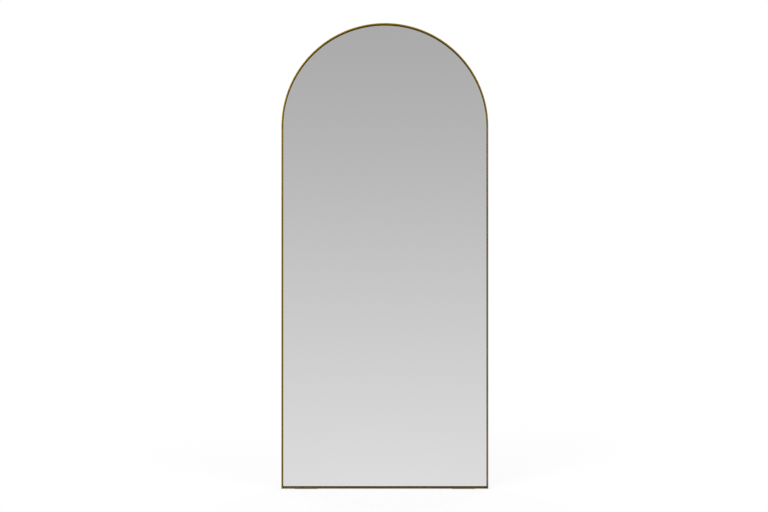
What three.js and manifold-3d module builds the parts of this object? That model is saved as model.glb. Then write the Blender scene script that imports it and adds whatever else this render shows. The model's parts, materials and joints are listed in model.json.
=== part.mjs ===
// Leaning floor mirror with an arched head.
//
// A frame of steel angle holds the mirror: the front edge of the angle is the thin line that is seen,
// and its rear leg is a flange behind the backing board. The glass is taped to the board, and screws
// through the flange hold the board. Two hangers with swinging rings, wall bumpers and floor pads
// finish the back and the foot.
//
// Millimetres. The mirror is drawn facing the viewer, x to the right, y up and z towards the viewer,
// and the whole drawing is then turned so that +Z is up and the glass faces -Y.
// The origin is on the floor, under the middle of the width and of the overall depth.

import * as THREE from 'three';
import { mergeVertices } from 'three/addons/utils/BufferGeometryUtils.js';
import Module from 'manifold-3d';

const wasm = await Module();
wasm.setup();

// ---------------------------------------------------------------- driving dimensions

// Frame
const frameWidth = 800;
const frameHeight = 1800;
const frameDepth = 32;
const faceWidth = 4; // front edge of the angle, all that shows from the front
const flangeWidth = 30; // rear leg, from the outer edge inwards
const flangeThickness = 3;
const archSegments = 64; // chords in the half circle of the head
const cornerSegments = 4; // chords in a small round corner

// Glass and what holds it
const glassThickness = 5;
const glassClearance = 1; // between the edge of the glass and the frame
const glassArris = 0.8; // ground-off edge
const filmThickness = 0.4;
const filmMargin = 3; // bare border of the film inside the edge of the glass
const tapeThickness = 1;
const tapeWidth = 20;
const tapeCount = 4;
const tapeEdge = 64; // from the outer edge of the frame to the middle of the outermost strip
const tapeEndMargin = 45; // from the edge of the board to the end of a strip
const blockLength = 60;
const blockThickness = 1;
const blockInset = 200; // from the outer edge of the frame to the middle of a block

// Backing board
const boardThickness = 9;
const boardClearance = 1; // between the edge of the board and the frame

// Screws
const fasteningLine = 17; // line of screws, hangers and bumpers, in from the outer edge
const shankRadius = 1.9;
const screwHeadRadius = 3.7;
const screwHeadHeight = 2.2;
const screwRimHeight = 1; // straight rim of the head
const screwCrownRadius = 2.8; // where the head's rounding meets its flat crown
const screwCrownDrop = 0.2; // from the crown's middle to that circle
const screwBite = 7; // length in the board
const screwTip = 2.5; // tapered end
const screwTipRadius = 0.6;
const recessSpan = 3.8; // across the cross in the head
const recessWidth = 1;
const recessDepth = 1.2;
const screwHoleClearance = 0.3; // round the shank
const screwSegments = 12;
const stileScrewFirst = 148.5; // lowest screw in a stile, over the bottom edge of the frame
const stileScrewCount = 4; // in each stile, evenly spread from there to the hanger
const railScrewEnd = 150; // from the outer edge of the frame to the rail's outermost screw
const railScrewCount = 3;
const archScrewCount = 5;

// Hangers
const hangerDrop = 51.5; // of the ring's axis below the spring of the arch
const strapWidth = 16;
const strapThickness = 1.5;
const strapLength = 58; // from the ring's axis to the lower end
const strapCornerRadius = 4;
const strapScrewOffsets = [30, 48]; // below the ring's axis
const ringWireRadius = 1.75;
const ringInnerWidth = 22;
const ringLegLength = 6; // straight part of each leg
const ringClearance = 0.3; // between the wire and the eye
const ringSides = 12;
const bowSteps = 24;
const eyeSegments = 24;

// Bumpers and pads
const bumperRadius = 8;
const bumperTopRadius = 6.5;
const bumperHeight = 9;
const bumperEdge = 1; // rounding of its face
const bumperSegments = 20;
const upperBumperAngle = 15; // degrees to each side of the top of the arch
const lowerBumperHeight = 43.5; // over the bottom edge of the frame
const padLength = 90;
const padDepth = 28;
const padThickness = 1.2;
const padCornerRadius = 4;
const padInset = 50; // from the outer edge of the frame to the end of a pad

// Pieces that touch are this far apart: a glue line, a coat of paint
const seat = 0.3;

// ---------------------------------------------------------------- places worked out from them

const halfWidth = frameWidth / 2;
const floorLine = 0;
const frameBottom = floorLine + padThickness + seat;
const frameTop = frameBottom + frameHeight;
const springLine = frameTop - halfWidth; // where the half circle of the head begins
const hangerHeight = springLine - hangerDrop;

const overallDepth = frameDepth + seat + bumperHeight;
const frontZ = overallDepth / 2;
const rearZ = frontZ - frameDepth; // rear face of the flange
const bumperFootZ = rearZ - seat;

const boardRearZ = rearZ + flangeThickness + seat;
const boardFrontZ = boardRearZ + boardThickness;
const tapeRearZ = boardFrontZ + seat;
const filmRearZ = tapeRearZ + tapeThickness + seat;
const glassRearZ = filmRearZ + filmThickness + seat;

const glassInset = faceWidth + glassClearance;
const glassBottom = frameBottom + faceWidth + seat + blockThickness + seat;
const boardInset = faceWidth + boardClearance;
const boardBottom = frameBottom + boardInset;
const fasteningX = halfWidth - fasteningLine;
const fasteningArchRadius = halfWidth - fasteningLine;

const eyeInnerRadius = ringWireRadius + ringClearance;
const eyeOuterRadius = eyeInnerRadius + strapThickness;
const strapFrontZ = rearZ - seat;
const strapRearZ = strapFrontZ - strapThickness;
const ringAxisZ = strapFrontZ - eyeOuterRadius;

// ---------------------------------------------------------------- materials

function finish(colour, roughness, metalness) {
  return new THREE.MeshStandardMaterial({ color: colour, roughness, metalness });
}

const antiqueBrass = finish(0x6e5b3f, 0.38, 1);
const silvering = finish(0xd8dcdc, 0.02, 1);
const clearFilm = finish(0xb9c2c6, 0.3, 0);
const foamTape = finish(0xe6e4dc, 0.9, 0);
const blackBoard = finish(0x1b1a19, 0.85, 0);
const zincPlate = finish(0xb4b3ac, 0.35, 1);
const blackScrew = finish(0x2a2826, 0.45, 1);
const blackRubber = finish(0x1d1d1d, 0.9, 0);

// ---------------------------------------------------------------- solids and meshes

/** A closed geometry as a solid, for joining and cutting. */
function solidOf(geometry) {
  const bare = geometry.clone();
  bare.deleteAttribute('normal');
  bare.deleteAttribute('uv');
  const merged = mergeVertices(bare, 1e-4);
  return new wasm.Manifold(
    new wasm.Mesh({
      numProp: 3,
      vertProperties: new Float32Array(merged.attributes.position.array),
      triVerts: new Uint32Array(merged.index.array),
    }),
  );
}

/** A solid as a flat-shaded geometry. */
function geometryOf(solid) {
  const { vertProperties, triVerts } = solid.getMesh();
  const geometry = new THREE.BufferGeometry();
  geometry.setAttribute('position', new THREE.BufferAttribute(vertProperties, 3));
  geometry.setIndex(new THREE.BufferAttribute(triVerts, 1));
  const flat = geometry.toNonIndexed();
  flat.computeVertexNormals();
  return flat;
}

function joined(...geometries) {
  return geometries.map(solidOf).reduce((whole, part) => whole.add(part));
}

function named(name, geometry, material) {
  const mesh = new THREE.Mesh(geometry, material.clone());
  mesh.name = name;
  return mesh;
}

/** A flat shape as a plate from rear to rear + thickness in depth. */
function plate(shape, rear, thickness, curveSegments = archSegments / 2) {
  const geometry = new THREE.ExtrudeGeometry(shape, {
    depth: thickness,
    bevelEnabled: false,
    curveSegments,
  });
  geometry.translate(0, 0, rear);
  return geometry;
}

function polygon(points) {
  return new THREE.Shape(points.map(([x, y]) => new THREE.Vector2(x, y)));
}

/** A box given by its lowest corner and its size. */
function block([x, y, z], [width, height, depth]) {
  const geometry = new THREE.BoxGeometry(width, height, depth);
  geometry.translate(x + width / 2, y + height / 2, z + depth / 2);
  return geometry;
}

/** A rectangle with round corners, centred on x = 0, y = 0. */
function roundedRectangle(width, height, radius) {
  const x = width / 2;
  const y = height / 2;
  const shape = new THREE.Shape();
  shape.moveTo(-x + radius, -y);
  shape.lineTo(x - radius, -y);
  shape.absarc(x - radius, -y + radius, radius, -Math.PI / 2, 0, false);
  shape.lineTo(x, y - radius);
  shape.absarc(x - radius, y - radius, radius, 0, Math.PI / 2, false);
  shape.lineTo(-x + radius, y);
  shape.absarc(-x + radius, y - radius, radius, Math.PI / 2, Math.PI, false);
  shape.lineTo(-x, -y + radius);
  shape.absarc(-x + radius, -y + radius, radius, Math.PI, Math.PI * 1.5, false);
  return shape;
}

// ---------------------------------------------------------------- where the screws go

/** Place on the arch's fastening line, at an angle from +x towards the top. */
function onArch(angle) {
  return {
    x: fasteningArchRadius * Math.cos(angle),
    y: springLine + fasteningArchRadius * Math.sin(angle),
  };
}

/** count values evenly spread from -end to end. */
function spread(count, end) {
  const pitch = (2 * end) / Math.max(count - 1, 1);
  return Array.from({ length: count }, (_, i) => (i - (count - 1) / 2) * pitch);
}

const lowestStileScrew = frameBottom + stileScrewFirst;
const stileScrewPitch = (hangerHeight - lowestStileScrew) / stileScrewCount;
const stileScrewHeights = Array.from(
  { length: stileScrewCount },
  (_, i) => lowestStileScrew + i * stileScrewPitch,
);
const hangerScrewHeights = strapScrewOffsets.map((offset) => hangerHeight - offset);
const leftStileScrews = stileScrewHeights.map((y) => ({ x: -fasteningX, y }));
const rightStileScrews = stileScrewHeights.map((y) => ({ x: fasteningX, y }));
const leftHangerScrews = hangerScrewHeights.map((y) => ({ x: -fasteningX, y }));
const rightHangerScrews = hangerScrewHeights.map((y) => ({ x: fasteningX, y }));
const railScrews = spread(railScrewCount, halfWidth - railScrewEnd).map((x) => ({
  x,
  y: frameBottom + fasteningLine,
}));
const archScrews = Array.from({ length: archScrewCount }, (_, i) =>
  onArch((Math.PI * (i + 1)) / (archScrewCount + 1)),
);
const boardScrews = [...leftStileScrews, ...archScrews, ...rightStileScrews, ...railScrews];
const allScrews = [...boardScrews, ...leftHangerScrews, ...rightHangerScrews];

/** A cylinder along the depth for each screw, from rear to front, to cut its hole. */
function screwHoles(places, rear, front) {
  return places.map(({ x, y }) => {
    const radius = shankRadius + screwHoleClearance;
    const hole = new THREE.CylinderGeometry(radius, radius, front - rear, screwSegments);
    hole.rotateX(Math.PI / 2);
    hole.translate(x, y, (front + rear) / 2);
    return solidOf(hole);
  });
}

/** The solid with the holes of all the screws that reach it, drilled from the rear up to front. */
function drilled(solid, front) {
  const holes = screwHoles(allScrews, rearZ - flangeThickness, front);
  return holes.reduce((whole, hole) => whole.subtract(hole), solid);
}

// ---------------------------------------------------------------- frame

/** A half ring of the arch, from the outer radius inwards by width. */
function archBand(width) {
  const inner = halfWidth - width;
  const shape = new THREE.Shape();
  shape.absarc(0, springLine, halfWidth, 0, Math.PI, false);
  shape.lineTo(-inner, springLine);
  shape.absarc(0, springLine, inner, Math.PI, 0, true);
  return shape;
}

/** A stile's outline, width wide, with its foot cut at 45 degrees for the mitre. side is -1 or 1. */
function stileBand(side, width) {
  const outer = side * halfWidth;
  const inner = side * (halfWidth - width);
  const points = [
    [outer, frameBottom],
    [outer, springLine],
    [inner, springLine],
    [inner, frameBottom + width],
  ];
  return polygon(side > 0 ? points : points.reverse());
}

/** The bottom rail's outline, width high, with both ends mitred. */
function railBand(width) {
  return polygon([
    [-halfWidth, frameBottom],
    [halfWidth, frameBottom],
    [halfWidth - width, frameBottom + width],
    [-halfWidth + width, frameBottom + width],
  ]);
}

/** An angle bar: the thin wall over the whole depth, and the flange at its rear edge. */
function angleBar(band) {
  return joined(
    plate(band(faceWidth), rearZ, frameDepth),
    plate(band(flangeWidth), rearZ, flangeThickness),
  );
}

function makeFrame() {
  const beyondFlange = rearZ + 2 * flangeThickness;
  const bars = {
    frame_arch: archBand,
    left_stile: (width) => stileBand(-1, width),
    right_stile: (width) => stileBand(1, width),
    bottom_rail: railBand,
  };
  return Object.entries(bars).map(([name, band]) =>
    named(name, geometryOf(drilled(angleBar(band), beyondFlange)), antiqueBrass),
  );
}

// ---------------------------------------------------------------- glass, film, tape and board

/** The mirror's outline, inset from the frame's outer edge, with its own bottom edge. */
function archedPanel(inset, bottom) {
  const half = halfWidth - inset;
  const shape = new THREE.Shape();
  shape.moveTo(-half, bottom);
  shape.lineTo(half, bottom);
  shape.lineTo(half, springLine);
  shape.absarc(0, springLine, half, 0, Math.PI, false);
  return shape;
}

function makeGlass() {
  const geometry = new THREE.ExtrudeGeometry(archedPanel(glassInset, glassBottom), {
    depth: glassThickness - 2 * glassArris,
    bevelThickness: glassArris,
    bevelSize: glassArris,
    bevelOffset: -glassArris,
    bevelSegments: 1,
    curveSegments: archSegments / 2,
  });
  geometry.translate(0, 0, glassRearZ + glassArris);
  return named('mirror_glass', geometry, silvering);
}

function makeFilm() {
  const outline = archedPanel(glassInset + filmMargin, glassBottom + filmMargin);
  return named('safety_film', plate(outline, filmRearZ, filmThickness), clearFilm);
}

/** Upright strips, each as long as the arch over it allows. */
function makeTapes() {
  const bottom = boardBottom + tapeEndMargin;
  const headRadius = halfWidth - boardInset;
  return spread(tapeCount, halfWidth - tapeEdge).map((x, i) => {
    const reach = Math.abs(x) + tapeWidth / 2;
    const top = springLine + Math.sqrt(headRadius ** 2 - reach ** 2) - tapeEndMargin;
    const strip = block(
      [x - tapeWidth / 2, bottom, tapeRearZ],
      [tapeWidth, top - bottom, tapeThickness],
    );
    return named(`mounting_tape_${i + 1}`, strip, foamTape);
  });
}

function makeBoard() {
  const board = solidOf(plate(archedPanel(boardInset, boardBottom), boardRearZ, boardThickness));
  const holeEnd = boardRearZ + screwBite + seat;
  return named('backing_board', geometryOf(drilled(board, holeEnd)), blackBoard);
}

/** Thin rubber strips on the bottom rail, which the glass stands on. */
function makeSettingBlocks() {
  return [
    ['left_setting_block', -1],
    ['right_setting_block', 1],
  ].map(([name, side]) => {
    const corner = [
      side * (halfWidth - blockInset) - blockLength / 2,
      frameBottom + faceWidth + seat,
      glassRearZ,
    ];
    return named(name, block(corner, [blockLength, blockThickness, glassThickness]), blackRubber);
  });
}

// ---------------------------------------------------------------- screws

/**
 * A pan-head screw with a cross recess, its head's underside at y = 0, the head above it and the
 * shank below. underHead is all that the shank passes through before the board.
 */
function screwSolid(underHead) {
  const length = underHead + screwBite;
  const profile = [
    [0, -length],
    [screwTipRadius, -length],
    [shankRadius, -length + screwTip],
    [shankRadius, 0],
    [screwHeadRadius, 0],
    [screwHeadRadius, screwRimHeight],
    [screwCrownRadius, screwHeadHeight - screwCrownDrop],
    [0, screwHeadHeight],
  ];
  const body = new THREE.LatheGeometry(
    profile.map(([radius, y]) => new THREE.Vector2(radius, y)),
    screwSegments,
  );
  const slot = new THREE.BoxGeometry(recessSpan, recessDepth * 2, recessWidth);
  const crossSlot = new THREE.BoxGeometry(recessWidth, recessDepth * 2, recessSpan);
  slot.translate(0, screwHeadHeight, 0);
  crossSlot.translate(0, screwHeadHeight, 0);
  return solidOf(body).subtract(joined(slot, crossSlot));
}

/** A screw from behind: its head stands on the face at headZ, its shank runs forwards. */
function makeScrew(name, { x, y }, headZ, underHead) {
  const geometry = geometryOf(screwSolid(underHead));
  geometry.rotateX(-Math.PI / 2);
  const mesh = named(name, geometry, blackScrew);
  mesh.position.set(x, y, headZ);
  return mesh;
}

function makeBoardScrews() {
  return boardScrews.map((place, i) => {
    const name = `board_screw_${String(i + 1).padStart(2, '0')}`;
    return makeScrew(name, place, rearZ - seat, seat + flangeThickness + seat);
  });
}

// ---------------------------------------------------------------- hangers

/**
 * The strap seen from the side, x standing for the distance behind the flange: a flat plate whose
 * upper end is rolled into an eye round the ring's wire. The ring's axis is at y = 0.
 */
function strapProfile() {
  const axis = eyeOuterRadius;
  const meeting = Math.sqrt(eyeOuterRadius ** 2 - eyeInnerRadius ** 2);
  const shape = new THREE.Shape();
  shape.moveTo(0, -strapLength);
  shape.lineTo(strapThickness, -strapLength);
  shape.lineTo(strapThickness, -meeting);
  shape.absarc(
    axis,
    0,
    eyeOuterRadius,
    Math.atan2(-meeting, strapThickness - axis),
    Math.PI,
    false,
  );
  const eye = new THREE.Path();
  eye.absarc(axis, 0, eyeInnerRadius, 0, Math.PI * 2, true);
  shape.holes.push(eye);
  return shape;
}

function makeStrap(name, x, screws) {
  const profile = new THREE.ExtrudeGeometry(strapProfile(), {
    depth: strapWidth,
    bevelEnabled: false,
    curveSegments: eyeSegments / 2,
  });
  // the profile's x runs rearwards, its y up, and its depth across the mirror
  profile.rotateY(Math.PI / 2);
  profile.translate(x - strapWidth / 2, hangerHeight, strapFrontZ);

  // round lower corners: what the plate keeps is a rounded rectangle that runs on past the eye
  const keepHeight = 2 * (strapLength + eyeOuterRadius);
  const keep = plate(
    roundedRectangle(strapWidth, keepHeight, strapCornerRadius),
    ringAxisZ - 2 * eyeOuterRadius,
    4 * eyeOuterRadius,
    cornerSegments,
  );
  keep.translate(x, hangerHeight - strapLength + keepHeight / 2, 0);

  const holes = screwHoles(screws, strapRearZ - strapThickness, strapFrontZ + strapThickness);
  const strap = holes.reduce(
    (whole, hole) => whole.subtract(hole),
    solidOf(profile).intersect(solidOf(keep)),
  );
  return named(name, geometryOf(strap), zincPlate);
}

/** Down one leg of the ring, round the half circle of the bow and up the other leg. */
class BowCurve extends THREE.Curve {
  constructor(radius, leg) {
    super();
    this.radius = radius;
    this.leg = leg;
  }

  getPoint(t, target = new THREE.Vector3()) {
    const arc = Math.PI * this.radius;
    const along = t * (2 * this.leg + arc);
    if (along < this.leg) return target.set(-this.radius, -along, 0);
    if (along > this.leg + arc) {
      return target.set(this.radius, along - 2 * this.leg - arc, 0);
    }
    const turn = (along - this.leg) / this.radius;
    return target.set(-this.radius * Math.cos(turn), -this.leg - this.radius * Math.sin(turn), 0);
  }
}

/** A D-shaped ring of round wire, its straight bar on the x axis and its bow hanging down. */
function ringSolid() {
  const bowRadius = ringInnerWidth / 2 + ringWireRadius;
  const section = new THREE.Shape();
  section.absarc(0, 0, ringWireRadius, 0, Math.PI * 2, false);
  const bow = new THREE.ExtrudeGeometry(section, {
    steps: bowSteps,
    extrudePath: new BowCurve(bowRadius, ringLegLength),
    curveSegments: ringSides / 2,
  });
  const bar = new THREE.CylinderGeometry(ringWireRadius, ringWireRadius, 2 * bowRadius, ringSides);
  bar.rotateZ(Math.PI / 2);
  const corners = [-1, 1].map((side) => {
    const ball = new THREE.SphereGeometry(ringWireRadius, ringSides, ringSides / 2);
    ball.translate(side * bowRadius, 0, 0);
    return ball;
  });
  return joined(bar, bow, ...corners);
}

function makeHanger(side, x, screws) {
  const ring = named(`${side}_hanger_ring`, geometryOf(ringSolid()), zincPlate);
  ring.position.set(x, hangerHeight, ringAxisZ);
  const headZ = strapRearZ - seat;
  const underHead = strapFrontZ - headZ + seat + flangeThickness + seat;
  return [
    makeStrap(`${side}_hanger_strap`, x, screws),
    ring,
    ...screws.map((place, i) =>
      makeScrew(`${side}_hanger_screw_${i + 1}`, place, headZ, underHead),
    ),
  ];
}

// ---------------------------------------------------------------- bumpers and pads

/** A rubber bumper behind the flange, its flat face to the wall. */
function makeBumper(name, { x, y }) {
  const profile = [
    [0, 0],
    [bumperRadius, 0],
    [bumperRadius, bumperEdge],
    [bumperTopRadius, bumperHeight - bumperEdge],
    [bumperTopRadius - bumperEdge, bumperHeight],
    [0, bumperHeight],
  ];
  const geometry = new THREE.LatheGeometry(
    profile.map(([radius, height]) => new THREE.Vector2(radius, height)),
    bumperSegments,
  );
  geometry.rotateX(-Math.PI / 2);
  const mesh = named(name, geometry, blackRubber);
  mesh.position.set(x, y, bumperFootZ);
  return mesh;
}

function makeBumpers() {
  const fromSide = Math.PI / 2 - THREE.MathUtils.degToRad(upperBumperAngle);
  const lowY = frameBottom + lowerBumperHeight;
  return [
    makeBumper('upper_left_bumper', onArch(Math.PI - fromSide)),
    makeBumper('upper_right_bumper', onArch(fromSide)),
    makeBumper('lower_left_bumper', { x: -fasteningX, y: lowY }),
    makeBumper('lower_right_bumper', { x: fasteningX, y: lowY }),
  ];
}

function makePads() {
  const centre = halfWidth - padInset - padLength / 2;
  return [
    ['left_floor_pad', -1],
    ['right_floor_pad', 1],
  ].map(([name, side]) => {
    const outline = roundedRectangle(padLength, padDepth, padCornerRadius);
    const geometry = plate(outline, 0, padThickness, cornerSegments);
    geometry.rotateX(-Math.PI / 2);
    geometry.translate(side * centre, floorLine, frontZ - frameDepth / 2);
    return named(name, geometry, blackRubber);
  });
}

// ---------------------------------------------------------------- the mirror

const mirror = new THREE.Group();
mirror.add(
  ...makeFrame(),
  makeGlass(),
  makeFilm(),
  ...makeTapes(),
  makeBoard(),
  ...makeSettingBlocks(),
  ...makeBoardScrews(),
  ...makeHanger('left', -fasteningX, leftHangerScrews),
  ...makeHanger('right', fasteningX, rightHangerScrews),
  ...makeBumpers(),
  ...makePads(),
);
mirror.rotation.x = Math.PI / 2;

export default mirror;
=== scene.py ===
"""Surfaces, finishes and studio of an arched leaning floor mirror.

The construction is loaded as a fixed frame: its nodes give every size and place below. The bars,
the pane, the screws, the hangers and the rubber get smooth surfaces of their own in the same
place, and the board, film, tape and setting blocks keep their own shapes and get a finish.
Metres, +Z up, the glass facing -Y.
"""

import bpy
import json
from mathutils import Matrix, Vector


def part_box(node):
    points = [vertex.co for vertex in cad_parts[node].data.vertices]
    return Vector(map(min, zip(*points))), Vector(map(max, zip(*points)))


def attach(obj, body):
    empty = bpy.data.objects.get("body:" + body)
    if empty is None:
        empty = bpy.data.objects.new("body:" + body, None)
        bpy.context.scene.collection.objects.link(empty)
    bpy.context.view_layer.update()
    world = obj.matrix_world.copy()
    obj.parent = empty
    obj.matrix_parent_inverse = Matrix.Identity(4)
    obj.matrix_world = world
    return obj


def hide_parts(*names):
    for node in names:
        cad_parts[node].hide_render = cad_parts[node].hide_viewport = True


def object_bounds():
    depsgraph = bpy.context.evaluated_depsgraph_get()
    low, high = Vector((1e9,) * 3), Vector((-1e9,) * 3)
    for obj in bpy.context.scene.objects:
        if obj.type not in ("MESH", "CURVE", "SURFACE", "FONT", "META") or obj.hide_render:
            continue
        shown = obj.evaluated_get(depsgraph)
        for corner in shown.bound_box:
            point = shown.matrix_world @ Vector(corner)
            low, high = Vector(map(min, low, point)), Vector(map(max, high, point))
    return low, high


bl_info = {
    "name": "Leaning floor mirror",
    "version": (1, 0, 0),
    "blender": (4, 5, 0),
    "location": "3D View > Sidebar > Floor mirror",
    "description": "Makes the surfaces, finishes and studio of an arched leaning floor mirror",
    "category": "Add Mesh",
}

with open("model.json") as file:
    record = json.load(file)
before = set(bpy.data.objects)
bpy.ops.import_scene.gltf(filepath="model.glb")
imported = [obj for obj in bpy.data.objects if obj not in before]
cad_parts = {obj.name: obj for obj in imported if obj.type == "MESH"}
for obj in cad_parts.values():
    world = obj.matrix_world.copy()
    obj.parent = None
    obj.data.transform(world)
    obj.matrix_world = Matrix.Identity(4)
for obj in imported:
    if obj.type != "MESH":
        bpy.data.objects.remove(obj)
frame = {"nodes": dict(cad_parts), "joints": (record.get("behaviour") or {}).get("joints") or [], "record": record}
cad_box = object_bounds()

import json
from math import cos, pi, radians, sin, tan

import bmesh
import bpy
import numpy as np
from bpy.props import FloatProperty, FloatVectorProperty, IntProperty, PointerProperty
from mathutils import Vector

MM = 0.001
MERGE_DISTANCE = 0.0005 * MM
SHARP_ANGLE = radians(35)
BODY_OF = {
    node: body
    for body, nodes in frame["record"]["behaviour"]["bodies"].items()
    for node in nodes
}
SLOT_OF = {part["node"]: part["material_slot"] for part in frame["record"]["subparts"]}


# ---------------- settings


def length(name, description, default, **limits):
    return FloatProperty(
        name=name, description=description, default=default, unit="LENGTH", precision=4, **limits
    )


def share(name, description, default):
    return FloatProperty(
        name=name, description=description, default=default, min=0, max=1, subtype="FACTOR"
    )


def colour(name, description, default):
    return FloatVectorProperty(
        name=name, description=description, default=default, min=0, max=1, size=3, subtype="COLOR"
    )


def brightness(name, description, default):
    return FloatProperty(name=name, description=description, default=default, min=0)


class BrassBarSettings(bpy.types.PropertyGroup):
    """The four bars of steel angle and their antique-brass finish."""

    face_width: length("Face width", "Front edge of the angle", 4 * MM)
    flange_thickness: length("Flange thickness", "Rear leg of the angle", 3 * MM)
    edge_radius: length("Edge radius", "Rounding along every edge of a bar", 0.4 * MM)
    edge_band: length("Edge band", "How far the rubbed edge fades into a face", 0.7 * MM)
    joint_dressing: length("Joint dressing", "Fine bevel where two bars meet", 0.12 * MM)
    arch_steps: IntProperty(
        name="Arch steps", description="Straight steps in the half circle", default=256, min=32
    )
    brass: colour("Brass", "The plate where it is clean", (0.375, 0.25, 0.020))
    tarnish: colour("Tarnish", "The plate where it has darkened", (0.19, 0.113, 0.010))
    unrubbed: colour("Unrubbed back", "The plate at the back, never polished", (0.15, 0.10, 0.042))
    rubbed: colour("Rubbed edge", "The plate where hands have polished it", (0.56, 0.405, 0.06))
    edge_tint: colour("Edge tint", "What it reflects at a grazing angle", (0.46, 0.32, 0.035))
    roughness: share("Roughness", "Of the brushed plate", 0.41)
    brushing: share("Brushing", "Depth of the fine lines along the bars", 0.25)


class GlassSettings(bpy.types.PropertyGroup):
    """The silvered pane."""

    arris: length("Arris", "Polished chamfer along the edge of the pane", 0.8 * MM)
    silver: colour("Silver", "What the pane sends back", (0.90, 0.90, 0.90))
    haze: share("Haze", "Roughness where the pane has been wiped", 0.012)
    glass_edge: colour("Glass edge", "What the pane's polished edge sends back", (0.74, 0.78, 0.70))


class BackSettings(bpy.types.PropertyGroup):
    """The board, the film, the tape and the rubber behind and under the pane."""

    paint: colour("Board paint", "Matt black paint of the backing board", (0.020, 0.019, 0.018))
    fibre: colour("Board fibre", "Fibreboard where the paint is thin", (0.060, 0.048, 0.038))
    film: colour("Safety film", "Film on the back of the pane", (0.36, 0.40, 0.43))
    tape: colour("Mounting tape", "Foam tape between film and board", (0.78, 0.77, 0.72))
    rubber: colour("Rubber", "Bumpers, floor pads and setting blocks", (0.022, 0.022, 0.023))
    dust: colour("Dust", "What gathers on rubber and paint", (0.16, 0.15, 0.14))
    bumper_fillet: length("Bumper fillet", "Rounding round a bumper's face", 1.4 * MM)
    bumper_foot: length("Bumper foot", "Rounding where a bumper meets the flange", 0.5 * MM)
    bumper_taper: FloatProperty(
        name="Bumper taper", description="Lean of a bumper's side", default=0.17, subtype="ANGLE"
    )
    pad_corner: length("Pad corner", "Corner of a floor pad", 4 * MM)
    pad_edge: length("Pad edge", "Rounding of a floor pad's edge", 0.35 * MM)


class HardwareSettings(bpy.types.PropertyGroup):
    """Pan-head screws, hanger straps and rings."""

    shank_radius: length("Shank radius", "Of a screw", 1.9 * MM)
    head_height: length("Head height", "Of a screw", 2.2 * MM)
    rim_height: length("Rim height", "Straight rim of a screw's head", 0.9 * MM)
    screw_tip: length("Screw tip", "Tapered end of a screw", 2.5 * MM)
    recess_span: length("Recess span", "Across the cross in a screw's head", 3.8 * MM)
    recess_width: length("Recess width", "Across one arm of the cross", 1.1 * MM)
    recess_depth: length("Recess depth", "Of the cross", 1.2 * MM)
    recess_draft: length("Recess draft", "How much narrower an arm is at its bottom", 0.4 * MM)
    strap_thickness: length("Strap thickness", "Of the rolled strap", 1.5 * MM)
    strap_corner: length("Strap corner", "Lower corners of the strap", 4 * MM)
    strap_edge: length("Strap edge", "Rounding along the strap's edges", 0.3 * MM)
    strap_roll: FloatProperty(
        name="Strap roll",
        description="How far the strap is rolled round the ring",
        default=radians(298),
        subtype="ANGLE",
    )
    ring_bend: length("Ring bend", "Bend at the ends of the ring's straight bar", 2.6 * MM)
    zinc: colour("Zinc", "Plate of the straps and rings", (0.50, 0.50, 0.49))
    zinc_tint: colour("Zinc tint", "Passivation on the plate", (0.52, 0.47, 0.36))
    black_oxide: colour("Black oxide", "Of the screws", (0.030, 0.028, 0.027))
    worn_oxide: colour("Worn oxide", "Where the driver has rubbed a screw", (0.16, 0.155, 0.15))


class StudioSettings(bpy.types.PropertyGroup):
    """The camera, the lamps and the plain pale surroundings."""

    camera_distance: length("Camera distance", "From the frame's front edge", 3.594)
    camera_side: length("Camera side", "From the middle of the mirror, to the right", -3.3 * MM)
    camera_height: length("Camera height", "Over the floor", 0.9011)
    view_width: length("View width", "What the picture spans at the frame's front edge", 2.9687)
    ambient: brightness("Ambient light", "Plain light from all round", 0.4)
    key_power: brightness("Key lamp", "Large soft lamp on the glass side", 85)
    fill_power: brightness("Fill lamp", "Soft lamp on the other side", 50)
    back_power: brightness("Back lamp", "Each of two soft lamps behind", 58)
    floor_white: share("Floor white", "Share of the floor's look that takes no shadow", 0.84)
    shadow_reach: length("Shadow reach", "How far out the floor shows any shadow", 2.5)


class FloorMirrorSettings(bpy.types.PropertyGroup):
    """Everything that a user would change."""

    bars: PointerProperty(name="Frame bars", type=BrassBarSettings)
    glass: PointerProperty(name="Glass", type=GlassSettings)
    back: PointerProperty(name="Back", type=BackSettings)
    hardware: PointerProperty(name="Hardware", type=HardwareSettings)
    studio: PointerProperty(name="Studio", type=StudioSettings)


# ---------------- surfaces


def lofted(rings, closed=False, caps=(True, True), first=0):
    """Points and faces of the surface through rings, an array of loops with as many points each.

    Point (i, j) is the j-th of ring i, and a quad joins (i, j), (i, j+1), (i+1, j+1), (i+1, j).
    The last point of a ring is followed by its first. With closed, the last ring is followed by
    the first, otherwise a flat face closes the first and the last ring where caps says so. The
    faces count their points from first on.
    """
    count, around = rings.shape[:2]
    i, j = np.meshgrid(
        np.arange(count if closed else count - 1), np.arange(around), indexing="ij"
    )
    here, there = i * around, (i + 1) % count * around
    beside = (j + 1) % around
    quads = np.stack([here + j, here + beside, there + beside, there + j], axis=-1)
    faces = (first + quads).reshape(-1, 4).tolist()
    if not closed:
        faces += [
            list(range(start, start + around))
            for start, capped in zip((first, first + (count - 1) * around), caps)
            if capped
        ]
    return rings.reshape(-1, 3), faces


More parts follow.
